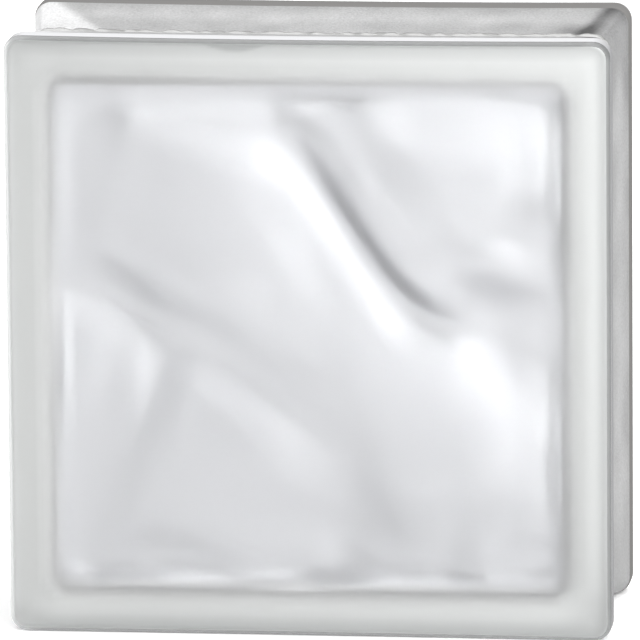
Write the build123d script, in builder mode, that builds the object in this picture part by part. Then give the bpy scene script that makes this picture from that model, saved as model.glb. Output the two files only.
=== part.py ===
from build123d import *

import math
import os

# Hollow satin glass block with a wavy pressed pattern, standing on one edge.
#
# Two pressed trays of glass are fused face to face at the middle of the depth,
# so the finished block is one body of glass around a sealed cavity.
# Frame: +Z up, front face towards -Y, origin at the middle of the bottom edge.

# ---- driving dimensions, millimetres -------------------------------------
SIDE = 190.0          # width and height over the flanges
DEPTH = 80.0          # front face to rear face
CORNER_R = 5.5        # corner radius of the face, in plan
LIP_R = 2.2           # rounding of the face's outer edge
LAND = 9.0            # depth of the flat flange land, rounding included
GROOVE = 4.8          # how far the edge is drawn in at the seam
WAIST_R = 4.5         # corner radius in plan at the seam
BEAD_W = 3.0          # fused seam: width over the bead
BEAD_H = 0.8          # and how far it stands out of the groove

FACE_T = 6.5          # thickness of each face where no wave adds to it
CAVITY_SEAM = 170.0   # cavity width at the seam
CAVITY_FACE = 163.5   # cavity width at the inner face, before the cove
CAVITY_R = 5.5        # corner radius of the cavity, in plan
COVE_R = 3.0          # size of the cove between the inner face and the side walls
ROLL_LEFT = 0.8       # the panel rolls off to thinner glass by this much on the left,
ROLL_RIGHT = 0.75     # on the right,
ROLL_BELOW = 1.0      # below
ROLL_ABOVE = 0.7      # and above,
ROLL_W = 2.2          # over about this width along its border

# ---- the pressed waves ----------------------------------------------------
# Each wave is a soft ridge (or a hollow, where the last number is negative) on
# the inner face of a tray: centre right, centre up, direction of its length in
# degrees anticlockwise from the right, half length, half width on the left and
# on the right of that direction, sideways bend at its ends, extra thickness.
WAVES = [
    (11.7, 34.3, -54, 18.4, 2.9, 10.5, 0.5, 4.09),
    (29.3, 11.7, -38, 12.8, 3.3, 9.4, 1.1, 3.71),
    (5.8, 48.2, -48, 15.6, 3.7, 5.8, 0.2, 1.71),
    (23.1, 48.9, -56, 41.8, 5.2, 5.2, 4.0, 0.56),
    (67.4, 77.8, -28, 34.1, 12.2, 14.1, -5.5, 3.89),
    (75.9, 24.3, -45, 17.4, 6.5, 7.2, -5.2, 1.72),
    (60.2, 20.0, -3, 17.7, 6.5, 6.7, 2.5, -1.31),
    (65.2, -13.0, -85, 15.6, 10.0, 9.3, 0.6, 2.49),
    (-22.8, -11.0, -35, 41.2, 8.1, 11.4, -5.8, 3.93),
    (-52.1, -3.4, -78, 20.9, 7.1, 16.2, -6.3, 1.77),
    (-59.5, -2.5, 122, 12.8, 8.3, 8.7, 2.9, -2.52),
    (-0.7, -86.2, -122, 35.3, 9.4, 11.8, -9.7, 2.06),
    (43.1, -62.8, -104, 12.4, 6.5, 6.5, 3.7, 1.64),
    (-45.7, -72.2, -4, 21.3, 6.6, 8.0, -6.4, 2.31),
    (-64.1, 55.6, -69, 24.4, 7.1, 9.0, 6.7, 1.30),
    (-24.3, 65.7, -2, 19.3, 16.1, 8.3, 3.8, 1.14),
    (4.8, 16.1, -55, 17.7, 6.0, 6.4, 0.6, 1.40),
    (10.5, -42.4, -19, 33.1, 6.3, 17.1, 6.8, -1.02),
    (-8.7, 75.1, -45, 17.2, 12.0, 14.1, -4.3, 2.72),
    (48.9, -6.7, -101, 16.1, 9.9, 18.0, 0.5, 2.42),
    (85.9, -7.9, -68, 23.9, 17.1, 8.0, -6.4, 4.59),
    (-71.3, 12.2, -105, 24.4, 9.6, 13.3, -7.3, 2.52),
    (30.9, -78.2, -13, 40.7, 7.6, 7.2, 11.6, 0.61),
    (1.3, -13.3, -6, 15.6, 7.0, 18.0, 0.7, -1.49),
    (-60.6, -1.4, -100, 14.3, 7.6, 8.1, 0.8, 1.88),
    (12.9, 55.6, -14, 17.2, 5.7, 5.8, 0.3, 0.76),
    (54.0, 13.7, -37, 10.6, 6.5, 8.0, -0.9, 1.88),
    (73.1, -57.5, -10, 14.1, 7.7, 6.5, 2.3, -1.33),
    (-60.8, 79.1, -73, 27.4, 5.5, 12.6, -7.6, -0.74),
    (-5.7, -87.9, -96, 14.3, 9.5, 13.2, -4.1, 2.88),
    (-18.2, 27.7, -38, 13.0, 12.7, 8.2, -3.7, 0.75),
    (2.9, -2.9, -43, 18.0, 11.0, 9.0, 0.3, 2.09),
    (55.4, 46.3, -23, 12.4, 8.7, 7.3, -3.0, 0.96),
    (48.6, 19.8, 22, 22.5, 6.5, 7.7, 1.7, -1.17),
    (74.2, -11.5, -46, 36.9, 6.0, 9.0, -2.8, 1.68),
    (70.2, 49.6, -91, 7.3, 9.6, 6.8, -1.0, 1.13),
    (66.5, 78.9, -11, 41.8, 13.1, 8.4, -5.1, 2.07),
    (25.6, 73.7, -27, 29.3, 16.3, 10.3, 6.3, 3.09),
    (-69.9, -65.0, -118, 14.0, 6.6, 7.1, -1.3, 1.45),
    (-39.6, -25.0, -47, 35.3, 5.3, 7.8, -3.6, 0.44),
    (66.0, -52.9, -108, 31.7, 13.5, 7.3, 7.2, 1.02),
    (15.7, -65.5, -23, 26.2, 10.1, 8.8, -3.8, 2.21),
    (-8.8, 67.4, -29, 10.9, 5.6, 7.5, 0.3, -0.96),
    (82.6, 49.3, -83, 15.3, 7.2, 5.5, 4.1, 0.58),
    (81.6, -73.1, -112, 10.1, 7.9, 6.5, 2.9, 0.64),
    (49.2, -69.4, 45, 10.1, 9.3, 6.5, 2.2, -0.21),
    (83.0, 63.2, -82, 32.3, 11.9, 5.2, -3.4, 1.54),
    (-28.8, 81.7, 0, 21.3, 5.2, 5.2, -2.6, 1.28),
    (50.2, 83.0, -2, 21.3, 7.9, 5.2, -2.4, 1.07),
    (-72.2, 0.9, -93, 21.9, 9.3, 5.2, 0.5, -1.21),
]
GRID = 61             # points each way through which the wavy face is drawn


def wave_height(right, up):
    """Extra thickness of the face at a point of the panel, in millimetres."""
    total = 0.0
    for cx, cy, turn, half_long, left_w, right_w, bend, extra in WAVES:
        c, s = math.cos(math.radians(turn)), math.sin(math.radians(turn))
        along = ((right - cx) * c + (up - cy) * s) / half_long
        across = -(right - cx) * s + (up - cy) * c - bend * along**2
        across = across / (left_w if across > 0 else right_w)
        total += extra * math.exp(-0.5 * (along**2 + across**2))
    edge = CAVITY_FACE / 2
    reach = edge * ((right / edge) ** 24 + (up / edge) ** 24) ** (1 / 24)
    inside = max(edge - COVE_R - reach, 0.0)
    near = [math.exp(-gap / 6.0) for gap in (edge + right, edge - right, edge + up, edge - up)]
    rolls = (ROLL_LEFT, ROLL_RIGHT, ROLL_BELOW, ROLL_ABOVE)
    roll = sum(n * r for n, r in zip(near, rolls)) / sum(near)
    return total - roll * math.exp(-0.5 * (inside / ROLL_W) ** 2)


def cove_rise(right, up):
    """Extra thickness of the cove, which climbs into the side walls."""
    square = CAVITY_FACE / 2 - CAVITY_R
    out_x, out_z = abs(right) - square, abs(up) - square
    if out_x > 0 and out_z > 0:
        gap = CAVITY_R - math.hypot(out_x, out_z)
    else:
        gap = CAVITY_R - max(out_x, out_z)
    soft = COVE_R / 3
    return 1.2 * soft * math.log1p(math.exp((COVE_R / 2 - gap) / soft))


def facing_front(y):
    """Plane square to the depth, X to the right, up is +Z, normal to the front."""
    return Plane(origin=(0, y, SIDE / 2), x_dir=(1, 0, 0), z_dir=(0, -1, 0))


# ---- the hollow of one tray, with its wavy end ----------------------------
inner_y = -(DEPTH / 2 - FACE_T)
reach = CAVITY_SEAM / 2 + 3
step = 2 * reach / (GRID - 1)
places = [-reach + i * step for i in range(GRID)]
wave_points = [
    [(x, inner_y + wave_height(x, z) + cove_rise(x, z), SIDE / 2 + z) for x in places]
    for z in places
]
wave_face = Face.make_surface_from_array_of_points(wave_points, tol=0.1, min_deg=3)

run_out = 4.0         # the hollow is drawn past its end, then closed by the waves
slope = (CAVITY_SEAM - CAVITY_FACE) / (DEPTH / 2 - FACE_T)
with BuildPart() as hollow:
    with BuildSketch(facing_front(0)):
        RectangleRounded(CAVITY_SEAM, CAVITY_SEAM, CAVITY_R)
    with BuildSketch(facing_front(inner_y - run_out)):
        far = CAVITY_FACE - slope * run_out
        RectangleRounded(far, far, CAVITY_R)
    loft(ruled=True)
    extrude(wave_face, amount=30, dir=(0, -1, 0), mode=Mode.SUBTRACT)

# ---- the fused seam: each tray carries half of a low rounded bead ----------
waist = SIDE - 2 * GROOVE
crest = waist + 2 * BEAD_H
with BuildPart() as half_bead:
    with BuildSketch(facing_front(0)):
        RectangleRounded(crest, crest, WAIST_R + BEAD_H)
    extrude(amount=BEAD_W / 2)
    fillet(half_bead.faces().sort_by(Axis.Y)[0].edges(), radius=0.4 * BEAD_W)

# ---- one pressed tray -------------------------------------------------------
with BuildPart() as tray:
    # flange: the land and the rounded lip around the face
    with BuildSketch(facing_front(-(DEPTH / 2 - LAND))):
        RectangleRounded(SIDE, SIDE, CORNER_R)
    extrude(amount=LAND)
    fillet(tray.faces().sort_by(Axis.Y)[0].edges(), radius=LIP_R)
    # mortar groove: the edge draws in from the land to the seam
    with BuildSketch(facing_front(-(DEPTH / 2 - LAND))):
        RectangleRounded(SIDE, SIDE, CORNER_R)
    with BuildSketch(facing_front(0)):
        RectangleRounded(waist, waist, WAIST_R)
    loft(ruled=True)
    add(half_bead.part)
    add(hollow.part, mode=Mode.SUBTRACT)

# ---- the block: two equal trays fused, the rear one turned about the upright axis
with BuildPart() as glass_block:
    add(tray.part)
    add(tray.part.rotate(Axis.Z, 180))

glass_block.part.label = "glass_block"
os.makedirs("parts", exist_ok=True)
export_step(glass_block.part, "parts/glass_block.step")

volume = glass_block.part.volume
print("volume cm3", round(volume / 1000, 1), "mass kg", round(volume * 2.5e-6, 3))
print("solids", len(glass_block.part.solids()), "shells", len(glass_block.part.shells()))
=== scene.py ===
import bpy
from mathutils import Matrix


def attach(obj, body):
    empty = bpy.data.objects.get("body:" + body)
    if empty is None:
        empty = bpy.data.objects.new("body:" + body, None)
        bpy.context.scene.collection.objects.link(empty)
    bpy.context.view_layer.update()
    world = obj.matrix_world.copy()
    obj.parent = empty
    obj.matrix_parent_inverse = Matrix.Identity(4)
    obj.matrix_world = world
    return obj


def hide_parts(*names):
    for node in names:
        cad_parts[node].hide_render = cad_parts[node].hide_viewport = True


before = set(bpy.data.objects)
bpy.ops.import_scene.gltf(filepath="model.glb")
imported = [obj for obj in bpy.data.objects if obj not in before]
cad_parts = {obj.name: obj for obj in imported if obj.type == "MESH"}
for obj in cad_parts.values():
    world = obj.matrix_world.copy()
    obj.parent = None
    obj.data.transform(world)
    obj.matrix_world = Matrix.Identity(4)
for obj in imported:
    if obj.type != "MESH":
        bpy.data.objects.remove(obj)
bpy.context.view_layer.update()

import math

import bpy
import numpy as np
from mathutils import Matrix, Vector

# ---------------------------------------------------------------------------
# Hollow satin glass block, 190 x 190 x 80 mm, standing on one edge.
# Metres, +Z up, front face towards -Y, origin at the middle of the bottom edge.
# ---------------------------------------------------------------------------
MM = 0.001

# ---- section, millimetres (the same numbers as the solid model) ------------
SIDE = 190.0
DEPTH = 80.0
CORNER_R = 5.5
LIP_R = 2.2
LAND = 9.0
GROOVE = 4.8
WAIST_R = 4.5
BEAD_W = 3.0
BEAD_H = 0.8
FACE_T = 6.5
CAVITY_SEAM = 170.0
CAVITY_FACE = 163.5
CAVITY_R = 5.5
COVE_R = 3.0
RIM_FROM, RIM_TO = 9.0, 16.0
TONE_RIGHT, TONE_UP = 0.069, 0.042
ROLL_LEFT, ROLL_RIGHT, ROLL_BELOW, ROLL_ABOVE = 0.8, 0.75, 1.0, 0.7
ROLL_W = 2.20

# ---- the pressed waves: centre right, centre up, direction in degrees
# anticlockwise from the right, half length, half width on the left and on the
# right of that direction, sideways bend at the ends, extra thickness ---------
WAVES = [
    (11.7, 34.3, -54, 18.4, 2.9, 10.5, 0.5, 4.09),
    (29.3, 11.7, -38, 12.8, 3.3, 9.4, 1.1, 3.71),
    (5.8, 48.2, -48, 15.6, 3.7, 5.8, 0.2, 1.71),
    (23.1, 48.9, -56, 41.8, 5.2, 5.2, 4.0, 0.56),
    (67.4, 77.8, -28, 34.1, 12.2, 14.1, -5.5, 3.89),
    (75.9, 24.3, -45, 17.4, 6.5, 7.2, -5.2, 1.72),
    (60.2, 20.0, -3, 17.7, 6.5, 6.7, 2.5, -1.31),
    (65.2, -13.0, -85, 15.6, 10.0, 9.3, 0.6, 2.49),
    (-22.8, -11.0, -35, 41.2, 8.1, 11.4, -5.8, 3.93),
    (-52.1, -3.4, -78, 20.9, 7.1, 16.2, -6.3, 1.77),
    (-59.5, -2.5, 122, 12.8, 8.3, 8.7, 2.9, -2.52),
    (-0.7, -86.2, -122, 35.3, 9.4, 11.8, -9.7, 2.06),
    (43.1, -62.8, -104, 12.4, 6.5, 6.5, 3.7, 1.64),
    (-45.7, -72.2, -4, 21.3, 6.6, 8.0, -6.4, 2.31),
    (-64.1, 55.6, -69, 24.4, 7.1, 9.0, 6.7, 1.30),
    (-24.3, 65.7, -2, 19.3, 16.1, 8.3, 3.8, 1.14),
    (4.8, 16.1, -55, 17.7, 6.0, 6.4, 0.6, 1.40),
    (10.5, -42.4, -19, 33.1, 6.3, 17.1, 6.8, -1.02),
    (-8.7, 75.1, -45, 17.2, 12.0, 14.1, -4.3, 2.72),
    (48.9, -6.7, -101, 16.1, 9.9, 18.0, 0.5, 2.42),
    (85.9, -7.9, -68, 23.9, 17.1, 8.0, -6.4, 4.59),
    (-71.3, 12.2, -105, 24.4, 9.6, 13.3, -7.3, 2.52),
    (30.9, -78.2, -13, 40.7, 7.6, 7.2, 11.6, 0.61),
    (1.3, -13.3, -6, 15.6, 7.0, 18.0, 0.7, -1.49),
    (-60.6, -1.4, -100, 14.3, 7.6, 8.1, 0.8, 1.88),
    (12.9, 55.6, -14, 17.2, 5.7, 5.8, 0.3, 0.76),
    (54.0, 13.7, -37, 10.6, 6.5, 8.0, -0.9, 1.88),
    (73.1, -57.5, -10, 14.1, 7.7, 6.5, 2.3, -1.33),
    (-60.8, 79.1, -73, 27.4, 5.5, 12.6, -7.6, -0.74),
    (-5.7, -87.9, -96, 14.3, 9.5, 13.2, -4.1, 2.88),
    (-18.2, 27.7, -38, 13.0, 12.7, 8.2, -3.7, 0.75),
    (2.9, -2.9, -43, 18.0, 11.0, 9.0, 0.3, 2.09),
    (55.4, 46.3, -23, 12.4, 8.7, 7.3, -3.0, 0.96),
    (48.6, 19.8, 22, 22.5, 6.5, 7.7, 1.7, -1.17),
    (74.2, -11.5, -46, 36.9, 6.0, 9.0, -2.8, 1.68),
    (70.2, 49.6, -91, 7.3, 9.6, 6.8, -1.0, 1.13),
    (66.5, 78.9, -11, 41.8, 13.1, 8.4, -5.1, 2.07),
    (25.6, 73.7, -27, 29.3, 16.3, 10.3, 6.3, 3.09),
    (-69.9, -65.0, -118, 14.0, 6.6, 7.1, -1.3, 1.45),
    (-39.6, -25.0, -47, 35.3, 5.3, 7.8, -3.6, 0.44),
    (66.0, -52.9, -108, 31.7, 13.5, 7.3, 7.2, 1.02),
    (15.7, -65.5, -23, 26.2, 10.1, 8.8, -3.8, 2.21),
    (-8.8, 67.4, -29, 10.9, 5.6, 7.5, 0.3, -0.96),
    (82.6, 49.3, -83, 15.3, 7.2, 5.5, 4.1, 0.58),
    (81.6, -73.1, -112, 10.1, 7.9, 6.5, 2.9, 0.64),
    (49.2, -69.4, 45, 10.1, 9.3, 6.5, 2.2, -0.21),
    (83.0, 63.2, -82, 32.3, 11.9, 5.2, -3.4, 1.54),
    (-28.8, 81.7, 0, 21.3, 5.2, 5.2, -2.6, 1.28),
    (50.2, 83.0, -2, 21.3, 7.9, 5.2, -2.4, 1.07),
    (-72.2, 0.9, -93, 21.9, 9.3, 5.2, 0.5, -1.21),
]


def wave_height(right, up):
    """Extra thickness of a face at points of the panel, in millimetres."""
    total = np.zeros_like(right)
    for cx, cy, turn, half_long, left_w, right_w, bend, extra in WAVES:
        c, s = math.cos(math.radians(turn)), math.sin(math.radians(turn))
        along = ((right - cx) * c + (up - cy) * s) / half_long
        across = -(right - cx) * s + (up - cy) * c - bend * along ** 2
        across = across / np.where(across > 0, left_w, right_w)
        total += extra * np.exp(-0.5 * (along ** 2 + across ** 2))
    # the panel rolls off to thinner glass along its border
    edge = CAVITY_FACE / 2
    reach = edge * ((right / edge) ** 24 + (up / edge) ** 24) ** (1 / 24)
    inside = np.clip(edge - COVE_R - reach, 0, None)
    near = [np.exp(-gap / 6.0) for gap in (edge + right, edge - right, edge + up, edge - up)]
    rolls = (ROLL_LEFT, ROLL_RIGHT, ROLL_BELOW, ROLL_ABOVE)
    roll = sum(n * r for n, r in zip(near, rolls)) / sum(near)
    return total - roll * np.exp(-0.5 * (inside / ROLL_W) ** 2)


# ---------------------------------------------------------------------------
# Rounded-square rings. side 0 is the right one, then top, left and bottom;
# t runs from -1 to 1 along a side, anticlockwise seen from the front, and is
# +-1 in the middle of the corner arcs.
# ---------------------------------------------------------------------------
def ring_point(half, radius, side, t):
    half, radius, t = np.broadcast_arrays(
        np.asarray(half, float), np.asarray(radius, float), np.asarray(t, float)
    )
    straight = half - radius
    arc = radius * math.pi / 4
    s = np.abs(t) * (straight + arc)
    over = np.clip(s - straight, 0, None)
    angle = np.where(radius > 1e-9, over / np.maximum(radius, 1e-9), 0.0)
    along = np.minimum(s, straight) + radius * np.sin(angle)
    out = straight + radius * np.cos(angle)
    along = along * np.sign(t)
    if side == 0:
        return out, along
    if side == 1:
        return -along, out
    if side == 2:
        return -out, -along
    return along, -out


def ring(half, radius, n):
    """4*n points round a rounded square, anticlockwise from the lower right corner."""
    t = -1 + 2 * np.arange(n) / n
    xs, zs = [], []
    for side in range(4):
        x, z = ring_point(half, radius, side, t)
        xs.append(x)
        zs.append(z)
    return np.concatenate(xs), np.concatenate(zs)


def disc(half, radius, n, power=4.0):
    """(n+1) x (n+1) grid of points filling a rounded square."""
    k = n // 2
    i, j = np.meshgrid(np.arange(-k, k + 1), np.arange(-k, k + 1), indexing="ij")
    level = np.maximum(np.abs(i), np.abs(j))
    safe = np.maximum(level, 1)
    r = level / k
    x = np.zeros(i.shape)
    z = np.zeros(i.shape)
    half_r = half * r
    rad_r = np.minimum(radius * r ** power, half_r)
    right = (i == level) & (level > 0)
    top = (j == level) & (level > 0)
    left = (i == -level) & (level > 0)
    bottom = (j == -level) & (level > 0)
    for side, mask, t in (
        (0, right, j / safe),
        (1, top, -i / safe),
        (2, left, -j / safe),
        (3, bottom, i / safe),
    ):
        px, pz = ring_point(half_r, rad_r, side, np.clip(t, -1, 1))
        x = np.where(mask, px, x)
        z = np.where(mask, pz, z)
    return x, z


class Shell:
    """Collects vertices, faces and their material slots."""

    def __init__(self):
        self.points = []
        self.polys = []
        self.slots = []
        self.count = 0

    def add(self, x, y, z):
        x, y, z = np.broadcast_arrays(x, y, z)
        block = np.stack([np.ravel(x), np.ravel(y), np.ravel(z)], axis=1)
        first = self.count
        self.points.append(block)
        self.count += len(block)
        return first

    def faces(self, polys, slot, flip=False):
        polys = np.asarray(polys, int)
        if flip:
            polys = polys[:, ::-1]
        self.polys += polys.tolist()
        self.slots += [slot] * len(polys)


def disc_rim(n):
    """Indices, in a disc's grid, of its outer ring in the order of ring()."""
    w = n + 1
    idx = []
    idx += [n * w + j for j in range(0, n)]            # right side, upwards
    idx += [i * w + n for i in range(n, 0, -1)]        # top, leftwards
    idx += [0 * w + j for j in range(n, 0, -1)]        # left, downwards
    idx += [i * w + 0 for i in range(0, n)]            # bottom, rightwards
    return np.array(idx)


def disc_quads(n):
    w = n + 1
    i, j = np.meshgrid(np.arange(n), np.arange(n), indexing="ij")
    a = i * w + j
    return np.stack([a, a + w, a + w + 1, a + 1], axis=-1).reshape(-1, 4)


def strip_quads(a, b):
    """Quads between two closed rings of vertex indices."""
    a2, b2 = np.roll(a, -1), np.roll(b, -1)
    return np.stack([a, a2, b2, b], axis=-1)


def strip_double(a, b):
    """Triangles from a ring to one with twice as many points."""
    a2 = np.roll(a, -1)
    b0, b1, b2 = b[0::2], b[1::2], np.roll(b[0::2], -1)
    return np.concatenate(
        [np.stack([a, b1, b0], -1), np.stack([a, a2, b1], -1), np.stack([a2, b2, b1], -1)]
    )


def smooth_noise(x, y, z, seed, waves, low, high):
    """Sum of random plane waves: a smooth uneven field of about unit size."""
    rng = np.random.default_rng(seed)
    total = np.zeros_like(np.asarray(x, float))
    for _ in range(waves):
        d = rng.normal(size=3)
        d /= np.linalg.norm(d)
        k = 2 * math.pi / rng.uniform(low, high)
        total += np.cos(k * (d[0] * x + d[1] * y + d[2] * z) + rng.uniform(0, 2 * math.pi))
    return total * math.sqrt(2.0 / waves)


# ---- slots of the block ----------------------------------------------------
SATIN, LIP, LAND_F, LAND_R, GRIT, SEAM, INNER, COVE, WALL = range(9)

shell = Shell()
N_FACE = 80
N_OUT = 2 * N_FACE
N_IN = 120
H = SIDE / 2

# ---- outside: half profile from the face's edge to the seam ----------------
# inset from the outer square, depth behind the face, slot
profile = []
for a in np.linspace(0, 90, 8):
    a = math.radians(a)
    profile.append(
        (LIP_R * (1 - math.sin(a)), LIP_R * (1 - math.cos(a)), SATIN if a < 0.5 else LIP)
    )
edge = 0.6
BARE = 4.0        # the coat starts a little behind the land
profile.append((0.0, 5.0, LIP))
profile.append((0.0, LAND - edge, LIP))
profile.append((0.025, LAND - 0.25 * edge, LIP))
slope_in = GROOVE / (DEPTH / 2 - LAND)
profile.append((0.10, LAND + edge, GRIT))
y_bead = DEPTH / 2 - BEAD_W / 2
for y in np.linspace(LAND + 2.2, y_bead - 0.3, 12):
    profile.append((slope_in * (y - LAND), y, GRIT))
profile.append((GROOVE - 0.35 * BEAD_H, y_bead + 0.12, SEAM))
profile.append((GROOVE - 0.80 * BEAD_H, y_bead + 0.55, SEAM))
profile.append((GROOVE - 1.00 * BEAD_H, DEPTH / 2, SEAM))

for mirror in (1, -1):     # 1 is the front half, -1 the rear half
    fx, fz = disc(H - 6.4, 0.3, N_FACE)
    first = shell.add(fx, -mirror * DEPTH / 2, fz)
    shell.faces(first + disc_quads(N_FACE), SATIN, flip=(mirror < 0))
    coarse = first + disc_rim(N_FACE)
    for k, inset in enumerate((5.2, 4.4, 3.6, 2.9, LIP_R)):
        rx, rz = ring(H - inset, max(CORNER_R - inset, 0.4), N_OUT)
        start = shell.add(rx, -mirror * DEPTH / 2, rz)
        current = start + np.arange(4 * N_OUT)
        strip = strip_double(coarse, current) if k == 0 else strip_quads(previous, current)
        shell.faces(strip, SATIN, flip=(mirror > 0))
        previous = current
    for inset, y, slot in profile[1:]:
        last = y == DEPTH / 2
        if last and mirror < 0:
            current = seam_ring
        else:
            if y <= LAND:
                radius = CORNER_R - inset
            else:
                radius = CORNER_R + (WAIST_R - CORNER_R) * (y - LAND) / (DEPTH / 2 - LAND)
            rx, rz = ring(H - inset, radius, N_OUT)
            if slot == SEAM:
                lump = smooth_noise(rx, 0.6 * y * mirror, rz, 5, 24, 3.4, 7.0)
                lump = 0.30 * np.clip(lump, -1.2, 1.2) * (1.0 if last else 0.75)
                size = np.maximum(np.abs(rx), np.abs(rz))
                rx, rz = rx * (1 + lump / size), rz * (1 + lump / size)
            start = shell.add(rx, -mirror * (DEPTH / 2 - y), rz)
            current = start + np.arange(4 * N_OUT)
            if last:
                seam_ring = current
        if LIP_R < y < LAND + BARE:
            slot = LAND_F if mirror > 0 else LAND_R
        shell.faces(strip_quads(previous, current), slot, flip=(mirror > 0))
        previous = current

# ---- inside: the wavy end, its cove and the drafted walls -------------------
inner = DEPTH / 2 - FACE_T
draft = (CAVITY_SEAM - CAVITY_FACE) / 2 / inner
lean = math.atan(draft)
face_half = CAVITY_FACE / 2
turn_in = math.pi / 2 - lean
# the cove's arc touches the end plane and the leaning wall
start_inset = COVE_R * (1 / math.cos(lean) - math.tan(lean))
for mirror in (1, -1):
    dx, dz = disc(face_half - start_inset, CAVITY_R - 0.6 * start_inset, N_IN)
    lift = wave_height(dx * mirror, dz)
    first = shell.add(dx, -mirror * (inner - lift), dz)
    shell.faces(first + disc_quads(N_IN), INNER, flip=(mirror > 0))
    previous = first + disc_rim(N_IN)
    steps = 6
    for k in range(1, steps + 1):
        a = turn_in * k / steps
        inset = start_inset - COVE_R * math.sin(a)
        behind = COVE_R * (1 - math.cos(a))
        rx, rz = ring(face_half - inset, CAVITY_R - 0.6 * max(inset, 0), N_IN)
        lift = wave_height(rx * mirror, rz) * (1 - (k / steps) ** 2)
        start = shell.add(rx, -mirror * (inner - behind - lift), rz)
        current = start + np.arange(4 * N_IN)
        shell.faces(strip_quads(previous, current), COVE, flip=(mirror < 0))
        previous = current
    y_wall = inner - COVE_R * (1 - math.cos(turn_in))
    for y in list(np.linspace(y_wall, 0, 6))[1:]:
        if y == 0 and mirror < 0:
            current = middle_ring
        else:
            rx, rz = ring(CAVITY_SEAM / 2 - draft * y, CAVITY_R, N_IN)
            start = shell.add(rx, -mirror * y, rz)
            current = start + np.arange(4 * N_IN)
            if y == 0:
                middle_ring = current
        shell.faces(strip_quads(previous, current), WALL, flip=(mirror < 0))
        previous = current

points = np.concatenate(shell.points)

# ---- the long edges sag a little between the corners, as pressed glass does --
along = 1 - (points[:, 0] / H) ** 2
near_top = np.clip((points[:, 2] - 60) / (H - 60), 0, 1) ** 2
near_bottom = np.clip((-points[:, 2] - 60) / (H - 60), 0, 1) ** 2
points[:, 2] += (0.30 * near_bottom - 0.60 * near_top) * along
points[:, 2] += H

px, py, pz = points[:, 0], np.abs(points[:, 1]), points[:, 2] - H


def from_edge(radius):
    """Distance from the face's outline, with corners of this radius."""
    ax = np.abs(px) - (H - radius)
    az = np.abs(pz) - (H - radius)
    return radius - np.where((ax > 0) & (az > 0), np.hypot(ax, az), np.maximum(ax, az))


# how much a point belongs to the left, right, lower and upper side
gap = np.stack([px + H, H - px, pz + H, H - pz])
near = np.exp(-gap / 3.0)
near /= near.sum(axis=0)

# how far a point belongs to the solid rim rather than to the panel
inward = from_edge(20.0)
fade = np.clip((RIM_TO - inward) / (RIM_TO - RIM_FROM), 0, 1)
rim_mask = fade * fade * (3 - 2 * fade)

# painted shade: the rim's outer border is darker, widest above and below, not on the left, with a dark
# lens on the upper edge
rise = np.clip(from_edge(CORNER_R + 1), 0, None)
edge_shade_mask = (
    0.90 * near[1] * np.clip(1 - rise / 4.8, 0, 1)
    + 1.08 * near[2] * np.clip(1 - rise / 7.2, 0, 1) ** 0.8 * (1 - 0.62 * np.exp(-((rise / 1.7) ** 2)))
    + 1.00 * near[3] * np.clip(1 - rise / 6.8, 0, 1) ** 0.9 * (1 - 0.22 * np.exp(-((rise / 1.4) ** 2)))
)
arc = np.clip(1 - ((px + 22) / 16) ** 2, 0, 1)
lens = np.clip((5.2 * arc - rise) / 1.6, 0, 1) * np.clip((rise - 1.2) / 1.0, 0, 1)
edge_shade_mask = np.clip(np.maximum(edge_shade_mask, near[3] * lens), 0, 1)

# ---- light in the panel grows to the right and upwards ------------------------
painted_light_at = 1 + TONE_RIGHT * px / 80 + TONE_UP * pz / 80
# ---- painted shade: the steep side of the fold, facing away from the key light, is darker ---
across = np.clip(np.where(points[:, 1] < 0, px, -px), -79, 79)
upward = np.clip(pz, -79, 79)
steep = -0.82 * (wave_height(across + 0.3, upward) - wave_height(across - 0.3, upward)) / 0.6
steep -= 0.57 * (wave_height(across, upward + 0.3) - wave_height(across, upward - 0.3)) / 0.6
painted_light_at *= 1 - 0.30 * np.clip((steep - 0.45) / 0.4, 0, 1)
# ---- painted light and shade at its right border: a faint lighter line, a darker band over the hollow beside it, and a lighter patch further in ---
upper = np.clip((upward - 8) / 20, 0, 1)
painted_light_at *= 1 + 0.03 * upper * np.exp(-(((across - 75.3) / 1.5) ** 2))
border = np.clip(np.abs(upward - 4) / 14 - 0.4, 0, 1)
painted_light_at *= 1 - 0.25 * border * np.exp(-(((across - 78.6) / 1.7) ** 2))
painted_light_at *= 1 + 0.07 * np.exp(-(((across - 59) / 8) ** 2) - ((upward - 17) / 4) ** 2)
# ---- painted shade: soft darker spots near the border: right, up, half width, half height, lighter by ---
SHADE_SPOTS = (
    (73.0, 66.0, 3.8, 9.0, -0.15),
    (77.5, 29.0, 2.2, 9.0, -0.12),
    (-72.5, -75.0, 3.2, 3.0, -0.15),
    (-12.0, -76.5, 7.0, 2.5, -0.09),
)
for cx, cz, wide, high, lighter in SHADE_SPOTS:
    painted_light_at *= 1 + lighter * np.exp(-(((across - cx) / wide) ** 2) - ((upward - cz) / high) ** 2)
# ---- painted highlights: two pale stretches along its lower border; painted shade: a dark one along the top ------
pale = np.exp(-(((across + 33) / 19) ** 2)) + 1.1 * np.exp(-(((across - 36) / 17) ** 2))
painted_light_at *= 1 + 0.28 * pale * np.exp(-(((upward + 78) / 1.5) ** 2))
painted_light_at *= 1 - 0.20 * np.exp(-(((across - 5) / 17) ** 4)) * np.exp(-(((upward - 75.5) / 1.9) ** 2))
# ---- painted light and shade in the cove round the panel: pale on the left and below, darkest above and at right ----
in_cove = (py < DEPTH / 2 - 1) & (np.maximum(np.abs(px), np.abs(pz)) > face_half - 2.4)
cove_painted_light = np.array([1.16, 0.74, 1.16, 0.68]) @ near
cove_painted_light -= 0.08 * near[1] * np.clip((pz - 5) / 25, 0, 1)
painted_light_at = np.where(in_cove, cove_painted_light, painted_light_at)
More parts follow.
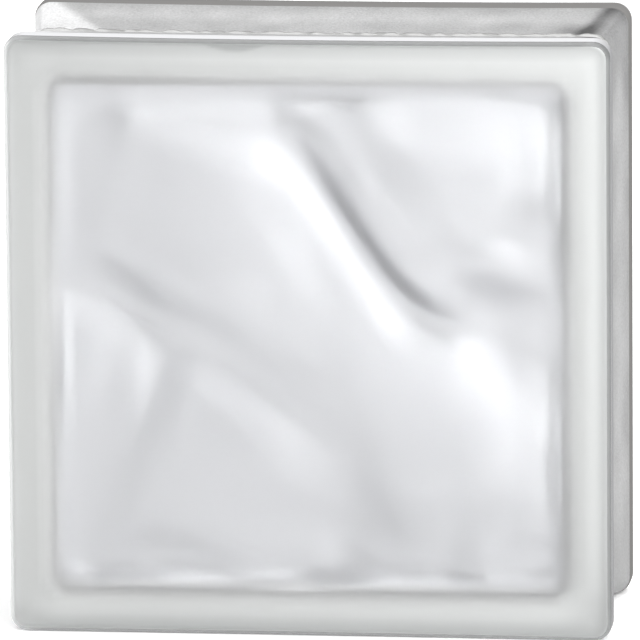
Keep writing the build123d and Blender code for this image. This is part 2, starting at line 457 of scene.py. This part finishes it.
# ---- painted light and shade on the milky rim: greyer on the left with a lighter band along its left edge, brighter towards the upper right, darker at the two lower corners, and shaded where the panel begins
rim_painted_light = (
    near[0] * (-0.183 + 0.10 * np.exp(-((rise / 2.4) ** 2)))
    + near[1] * (-0.045 + 0.09 * pz / 80)
    + near[2] * (0.06 + 0.07 * px / 80)
    + near[3] * (0.0 + 0.12 * px / 80)
)
for cx, cz in ((-88, -89), (86, -89)):
    rim_painted_light = rim_painted_light - 0.12 * np.exp(-(((px - cx) / 6) ** 2) - ((pz - cz) / 3) ** 2)
shade_in = np.array([-0.06, 0.13, 0.01, 0.16]) @ near * np.exp(-(((inward - 13.2) / 3.2) ** 2))
painted_light_at = np.where(py < DEPTH / 2 - 1, painted_light_at, 1 + rim_mask * rim_painted_light - shade_in)

# ---- the coat on the mortar sides varies at random, and also carries painted light and shade: lighter and darker by this much --
coat_and_shade = 1 + 0.05 * smooth_noise(px, py, pz, 11, 20, 12, 45)
# painted light and shade: a lighter band mid-groove and a darker one where the groove starts behind
# the land
coat_and_shade += 0.10 * np.exp(-(((py - 17) / 5) ** 2)) - 0.16 * np.exp(-(((py - 31) / 4) ** 2))
on_top = np.clip((pz - 58) / 26, 0, 1)
on_top = on_top * on_top * (3 - 2 * on_top)
# painted highlight: a bright patch at the left end of the top side
corner_light = np.clip((-87.3 + (29 - py) * 0.63 - px) / 5.0 + 0.5, 0, 1) * on_top ** 3
coat_and_shade += 0.75 * corner_light * corner_light * (3 - 2 * corner_light)
# painted shade: the left and right sides are darker than the top and bottom
coat_and_shade *= np.where(np.abs(px) > np.abs(pz), 0.86, 1.0)
# painted shade: a dark streak along the mitre at the upper right corner, and a dark blob beside it
mitre = px - (82.5 + 0.235 * py)
coat_and_shade -= 0.70 * np.exp(-((mitre / np.where(mitre < 0, 2.4, 4.6)) ** 2)) * on_top
coat_and_shade -= 0.45 * np.exp(-((px - 80.5) ** 2 + (py - 4) ** 2) / 34) * on_top
# painted shade: the top side darkens towards the right
coat_and_shade -= 0.09 * np.clip((px - 10) / 45, 0, 1) * on_top
coat_and_shade = np.clip(coat_and_shade, 0.12, None)

mesh = bpy.data.meshes.new("glass_block_body")
mesh.from_pydata((points * MM).tolist(), [], shell.polys)
mesh.polygons.foreach_set("material_index", np.array(shell.slots, np.int32))
mesh.polygons.foreach_set("use_smooth", np.ones(len(shell.polys), bool))
mesh.attributes.new("rim", "FLOAT", "POINT").data.foreach_set("value", rim_mask)
mesh.attributes.new("tone", "FLOAT", "POINT").data.foreach_set("value", painted_light_at)
mesh.attributes.new("coat_and_shade", "FLOAT", "POINT").data.foreach_set("value", coat_and_shade)
mesh.attributes.new("edge", "FLOAT", "POINT").data.foreach_set("value", edge_shade_mask)
mesh.update()
block = bpy.data.objects.new("glass_block_body", mesh)
bpy.context.scene.collection.objects.link(block)
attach(block, "root")
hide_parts("glass_block")


# ---------------------------------------------------------------------------
# Materials
# ---------------------------------------------------------------------------
def new_material(name):
    m = bpy.data.materials.new(name)
    m.use_nodes = True
    m.node_tree.nodes.clear()
    return m, m.node_tree.nodes, m.node_tree.links


def glass(name, color, roughness, transmission=1.0, metallic=0.0, ior=1.5):
    m, nodes, links = new_material(name)
    out = nodes.new("ShaderNodeOutputMaterial")
    b = nodes.new("ShaderNodeBsdfPrincipled")
    b.inputs["Base Color"].default_value = (*color, 1)
    b.inputs["Roughness"].default_value = roughness
    b.inputs["IOR"].default_value = ior
    b.inputs["Transmission Weight"].default_value = transmission
    b.inputs["Metallic"].default_value = metallic
    links.new(b.outputs[0], out.inputs[0])
    return m, nodes, links, b


lip, nodes, links, b = glass("clear_lip", (0.60, 0.61, 0.61), 0.12, transmission=0.2)
b.inputs["Specular IOR Level"].default_value = 0.1
# painted shade: the lip turns near-black where the edge mask is high
lip_at = nodes.new("ShaderNodeAttribute")
lip_at.attribute_name = "edge"
dim = nodes.new("ShaderNodeMix")
dim.data_type = "RGBA"
dim.inputs[6].default_value = (0.62, 0.63, 0.63, 1)
dim.inputs[7].default_value = (0.13, 0.133, 0.133, 1)
full = nodes.new("ShaderNodeMapRange")
full.inputs["From Max"].default_value = 0.92
links.new(lip_at.outputs["Fac"], full.inputs["Value"])
links.new(full.outputs["Result"], dim.inputs[0])
links.new(dim.outputs[2], b.inputs["Base Color"])
land_f, nodes, links, b = glass("front_land", (0.72, 0.72, 0.735), 0.5, transmission=0.0)
b.inputs["Specular IOR Level"].default_value = 0.0
# painted shade: the land is darker grey where it faces left or right than above and below
geo = nodes.new("ShaderNodeNewGeometry")
axes = nodes.new("ShaderNodeSeparateXYZ")
links.new(geo.outputs["Normal"], axes.inputs[0])
tilt = nodes.new("ShaderNodeMath")
tilt.operation = "ABSOLUTE"
links.new(axes.outputs["X"], tilt.inputs[0])
pale = nodes.new("ShaderNodeMix")
pale.data_type = "RGBA"
pale.inputs[6].default_value = (0.53, 0.53, 0.542, 1)
pale.inputs[7].default_value = (0.26, 0.26, 0.265, 1)
links.new(tilt.outputs[0], pale.inputs[0])
links.new(pale.outputs[2], b.inputs["Base Color"])
# painted shade: the rear land is near-black, a dark stand-in for the shade seen on that glass
land_r, nodes, links, b = glass("rear_land", (0.17, 0.167, 0.163), 0.5, transmission=0.0)
b.inputs["Specular IOR Level"].default_value = 0.0
cove, nodes, links, b = glass("inner_cove", (0.88, 0.88, 0.89), 0.45, transmission=0.2)
# painted light and shade in the cove, from the tone attribute
cove_at = nodes.new("ShaderNodeAttribute")
cove_at.attribute_name = "tone"
coved = nodes.new("ShaderNodeVectorMath")
coved.operation = "SCALE"
coved.inputs[0].default_value = (0.88, 0.88, 0.89)
links.new(cove_at.outputs["Fac"], coved.inputs["Scale"])
links.new(coved.outputs["Vector"], b.inputs["Base Color"])
# satin face: lets the panel's waves through, milky over the solid rim; its grey there is partly the
# thick glass's tint and partly painted shade, and the tone and edge attributes add painted light and
# shade
satin, nodes, links, b = glass("satin_face", (0.96, 0.965, 0.968), 0.40)
mask = nodes.new("ShaderNodeAttribute")
mask.attribute_name = "rim"
tone = nodes.new("ShaderNodeMix")
tone.data_type = "RGBA"
tone.inputs[6].default_value = (0.96, 0.965, 0.968, 1)
tone.inputs[7].default_value = (0.600, 0.611, 0.607, 1)
links.new(mask.outputs["Fac"], tone.inputs[0])
# painted shade: the border darkens towards dark grey where the edge mask is high
edge_at = nodes.new("ShaderNodeAttribute")
edge_at.attribute_name = "edge"
edge_shade = nodes.new("ShaderNodeMix")
edge_shade.data_type = "RGBA"
edge_shade.inputs[7].default_value = (0.32, 0.33, 0.328, 1)
links.new(edge_at.outputs["Fac"], edge_shade.inputs[0])
links.new(tone.outputs[2], edge_shade.inputs[6])
face_tone = nodes.new("ShaderNodeAttribute")
face_tone.attribute_name = "tone"
faced = nodes.new("ShaderNodeVectorMath")
faced.operation = "SCALE"
links.new(edge_shade.outputs[2], faced.inputs[0])
links.new(face_tone.outputs["Fac"], faced.inputs["Scale"])
links.new(faced.outputs["Vector"], b.inputs["Base Color"])
milk = nodes.new("ShaderNodeMapRange")
milk.inputs["To Min"].default_value = 0.95
milk.inputs["To Max"].default_value = 0.45
links.new(mask.outputs["Fac"], milk.inputs["Value"])
links.new(milk.outputs["Result"], b.inputs["Transmission Weight"])
innerm, nodes, links, b = glass(
    "inner_waves", (0.621, 0.624, 0.644), 0.42, transmission=0.10, metallic=0.74
)
# painted light and shade on the waves, from the tone attribute
shade = nodes.new("ShaderNodeAttribute")
shade.attribute_name = "tone"
toned = nodes.new("ShaderNodeVectorMath")
toned.operation = "SCALE"
toned.inputs[0].default_value = (0.621, 0.624, 0.644)
links.new(shade.outputs["Fac"], toned.inputs["Scale"])
links.new(toned.outputs["Vector"], b.inputs["Base Color"])
wall, *_ = glass("inner_wall", (0.95, 0.955, 0.952), 0.4, transmission=0.0, metallic=1.0)

# mortar side: a granular coat, sandy grey outside and white against the glass
grit, nodes, links, b = glass("grit_side", (0.6, 0.6, 0.59), 0.65, transmission=0.22)
geo = nodes.new("ShaderNodeNewGeometry")
tex = nodes.new("ShaderNodeTexCoord")
grain = nodes.new("ShaderNodeTexNoise")
grain.inputs["Scale"].default_value = 1300.0
grain.inputs["Detail"].default_value = 3.0
links.new(tex.outputs["Object"], grain.inputs["Vector"])
sand = nodes.new("ShaderNodeValToRGB")
sand.color_ramp.elements[0].position = 0.32
sand.color_ramp.elements[0].color = (0.31, 0.31, 0.312, 1)
sand.color_ramp.elements[1].position = 0.68
sand.color_ramp.elements[1].color = (0.40, 0.40, 0.402, 1)
links.new(grain.outputs["Fac"], sand.inputs["Fac"])
# the coat attribute carries random unevenness and painted light and shade
coat_at = nodes.new("ShaderNodeAttribute")
coat_at.attribute_name = "coat_and_shade"
uneven = nodes.new("ShaderNodeVectorMath")
uneven.operation = "SCALE"
links.new(sand.outputs["Color"], uneven.inputs[0])
links.new(coat_at.outputs["Fac"], uneven.inputs["Scale"])
two = nodes.new("ShaderNodeMix")
two.data_type = "RGBA"
two.inputs[7].default_value = (0.93, 0.935, 0.93, 1)
links.new(geo.outputs["Backfacing"], two.inputs[0])
links.new(uneven.outputs["Vector"], two.inputs[6])
links.new(two.outputs[2], b.inputs["Base Color"])
bump = nodes.new("ShaderNodeBump")
bump.inputs["Strength"].default_value = 0.6
bump.inputs["Distance"].default_value = 0.0004
links.new(grain.outputs["Fac"], bump.inputs["Height"])
links.new(bump.outputs["Normal"], b.inputs["Normal"])

seam, *_ = glass("fused_seam", (0.42, 0.42, 0.415), 0.2, transmission=0.3)
for m in (satin, lip, land_f, land_r, grit, seam, innerm, cove, wall):
    mesh.materials.append(m)

# ---------------------------------------------------------------------------
# Floor, light, camera
# ---------------------------------------------------------------------------
floor_mesh = bpy.data.meshes.new("floor")
R = 30.0
floor_mesh.from_pydata([(-R, -R, 0), (R, -R, 0), (R, R, 0), (-R, R, 0)], [], [(0, 1, 2, 3)])
floor = bpy.data.objects.new("floor", floor_mesh)
bpy.context.scene.collection.objects.link(floor)
fm, nodes, links = new_material("floor_paper")
out = nodes.new("ShaderNodeOutputMaterial")
d = nodes.new("ShaderNodeBsdfDiffuse")
d.inputs["Color"].default_value = (0.94, 0.94, 0.94, 1)
# painted light: the floor glows faintly to wash out the shadows on it
glow = nodes.new("ShaderNodeEmission")
glow.inputs["Strength"].default_value = 0.12
lit = nodes.new("ShaderNodeAddShader")
links.new(d.outputs[0], lit.inputs[0])
links.new(glow.outputs[0], lit.inputs[1])
links.new(lit.outputs[0], out.inputs[0])
floor_mesh.materials.append(fm)

world = bpy.data.worlds.new("studio")
bpy.context.scene.world = world
world.use_nodes = True
bg = world.node_tree.nodes["Background"]
bg.inputs["Color"].default_value = (1, 1, 1, 1)
bg.inputs["Strength"].default_value = 0.25


def area(name, place, aim, width, height, power):
    data = bpy.data.lights.new(name, "AREA")
    data.shape = "RECTANGLE"
    data.size, data.size_y = width, height
    data.energy = power
    ob = bpy.data.objects.new(name, data)
    ob.location = place
    ob.rotation_euler = (Vector(aim) - Vector(place)).to_track_quat("-Z", "Y").to_euler()
    bpy.context.scene.collection.objects.link(ob)
    return ob


area("key", (1.24, -1.86, 1.36), (0, 0, 0.1), 1.6, 1.6, 88)
area("overhead", (0, 0.6, 2.3), (0, 0.6, 0), 2.4, 2.4, 52)
area("left", (-1.8, 0.5, 0.6), (0, 0, 0.1), 1.0, 1.0, 27)

az, el, roll = math.radians(6.81), math.radians(10.99), math.radians(-0.466)
target = Vector((-0.77, 0, 93.5)) * MM
back = Vector((math.sin(az) * math.cos(el), -math.cos(az) * math.cos(el), math.sin(el)))
right = (-back).cross(Vector((0, 0, 1))).normalized()
up = right.cross(-back)
r2 = math.cos(roll) * right + math.sin(roll) * up
u2 = -math.sin(roll) * right + math.cos(roll) * up
cam_data = bpy.data.cameras.new("camera")
cam_data.sensor_fit = "HORIZONTAL"
cam_data.sensor_width = 36.0
cam_data.lens = 10370 / 640 * 36
cam_data.clip_end = 100
cam = bpy.data.objects.new("camera", cam_data)
rot = Matrix((r2, u2, back)).transposed()
cam.matrix_world = Matrix.Translation(target + back * 3.276) @ rot.to_4x4()
bpy.context.scene.collection.objects.link(cam)
bpy.context.scene.camera = cam

scene = bpy.context.scene
scene.view_settings.view_transform = "Standard"
scene.cycles.use_denoising = True
scene.cycles.max_bounces = 24
scene.cycles.transmission_bounces = 20
scene.cycles.glossy_bounces = 12
scene.cycles.diffuse_bounces = 10
